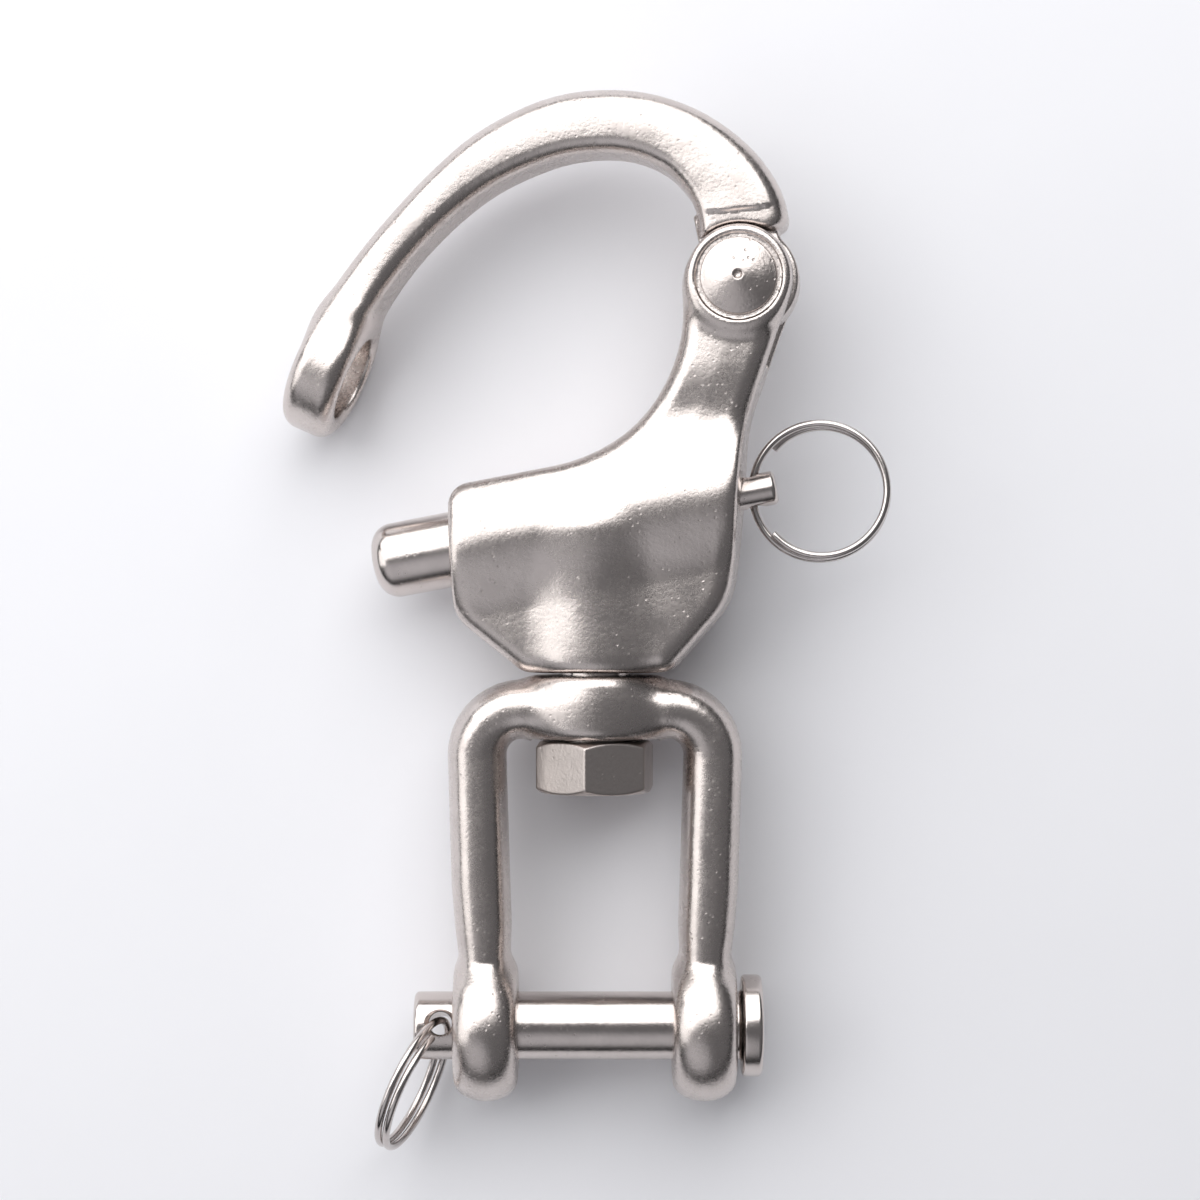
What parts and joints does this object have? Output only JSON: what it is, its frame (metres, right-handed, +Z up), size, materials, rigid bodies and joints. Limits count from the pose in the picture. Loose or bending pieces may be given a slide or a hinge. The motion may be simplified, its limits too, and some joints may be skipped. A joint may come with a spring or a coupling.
{
  "type": "snap shackle",
  "caption": "Swivel snap shackle with a jaw end: a spring plunger locks the hinged bow, and a clevis pin with a split ring closes the jaw.",
  "frame": {"origin": "middle of the clevis pin, on its axis, midway between the jaw's eyes", "axes": "+Y along the swivel axis from the jaw towards the bow, +X along the clevis pin towards its head, +Z up from the table it lies on"},
  "size_m": [0.0725, 0.1256, 0.0219],
  "materials": {
    "cast_steel": "tumbled and polished investment casting, slightly pitted",
    "turned_steel": "turned and polished",
    "nut_steel": "dull, finely pitted",
    "ring_wire": "bright drawn wire",
    "spring_wire": "drawn wire"
  },
  "bodies": {
    "body": {"body": "cast_steel", "pivot_rivet": "turned_steel", "plunger_spring": "spring_wire", "swivel_stud": "turned_steel", "swivel_nut": "nut_steel"},
    "bow": {"bow": "cast_steel"},
    "plunger": {"plunger": "turned_steel"},
    "pull_ring": {"pull_ring": "ring_wire"},
    "fork": {"fork": "cast_steel"},
    "clevis_pin": {"clevis_pin": "turned_steel"},
    "clevis_ring": {"clevis_ring": "ring_wire"}
  },
  "joints": [
    {"name": "bow_hinge", "type": "hinge", "parent": "body", "child": "bow", "pos_m": [0.01739, 0.08809, 0.00481], "axis": [-0.1132, -0.0319, 0.9931], "range_deg": [-90, 28.5]},
    {"name": "plunger_slide", "type": "slide", "parent": "body", "child": "plunger", "axis": [0.9766, 0.1803, 0.1171], "range_m": [0, 0.009], "stiffness_N_per_m": 600, "springref_m": -0.005, "deforming": ["plunger_spring"]},
    {"name": "pull_ring_swing", "type": "hinge", "parent": "plunger", "child": "pull_ring", "pos_m": [0.0187, 0.06332, 0.00417], "axis": [-0.1828, 0.9831, 0.0107], "range_deg": [-60, 60]},
    {"name": "fork_swivel", "type": "hinge", "parent": "body", "child": "fork", "pos_m": [0, 0.03798, 0.00122], "axis": [0, 0.9995, 0.0321], "continuous": true},
    {"name": "clevis_pin_spin", "type": "hinge", "parent": "fork", "child": "clevis_pin", "pos_m": [0, 0, 0], "axis": [1, 0, 0], "continuous": true},
    {"name": "clevis_ring_swing", "type": "hinge", "parent": "clevis_pin", "child": "clevis_ring", "pos_m": [-0.0182, 0, 0], "axis": [0, 0.1935, 0.9811], "range_deg": [-140, 15]}
  ]
}
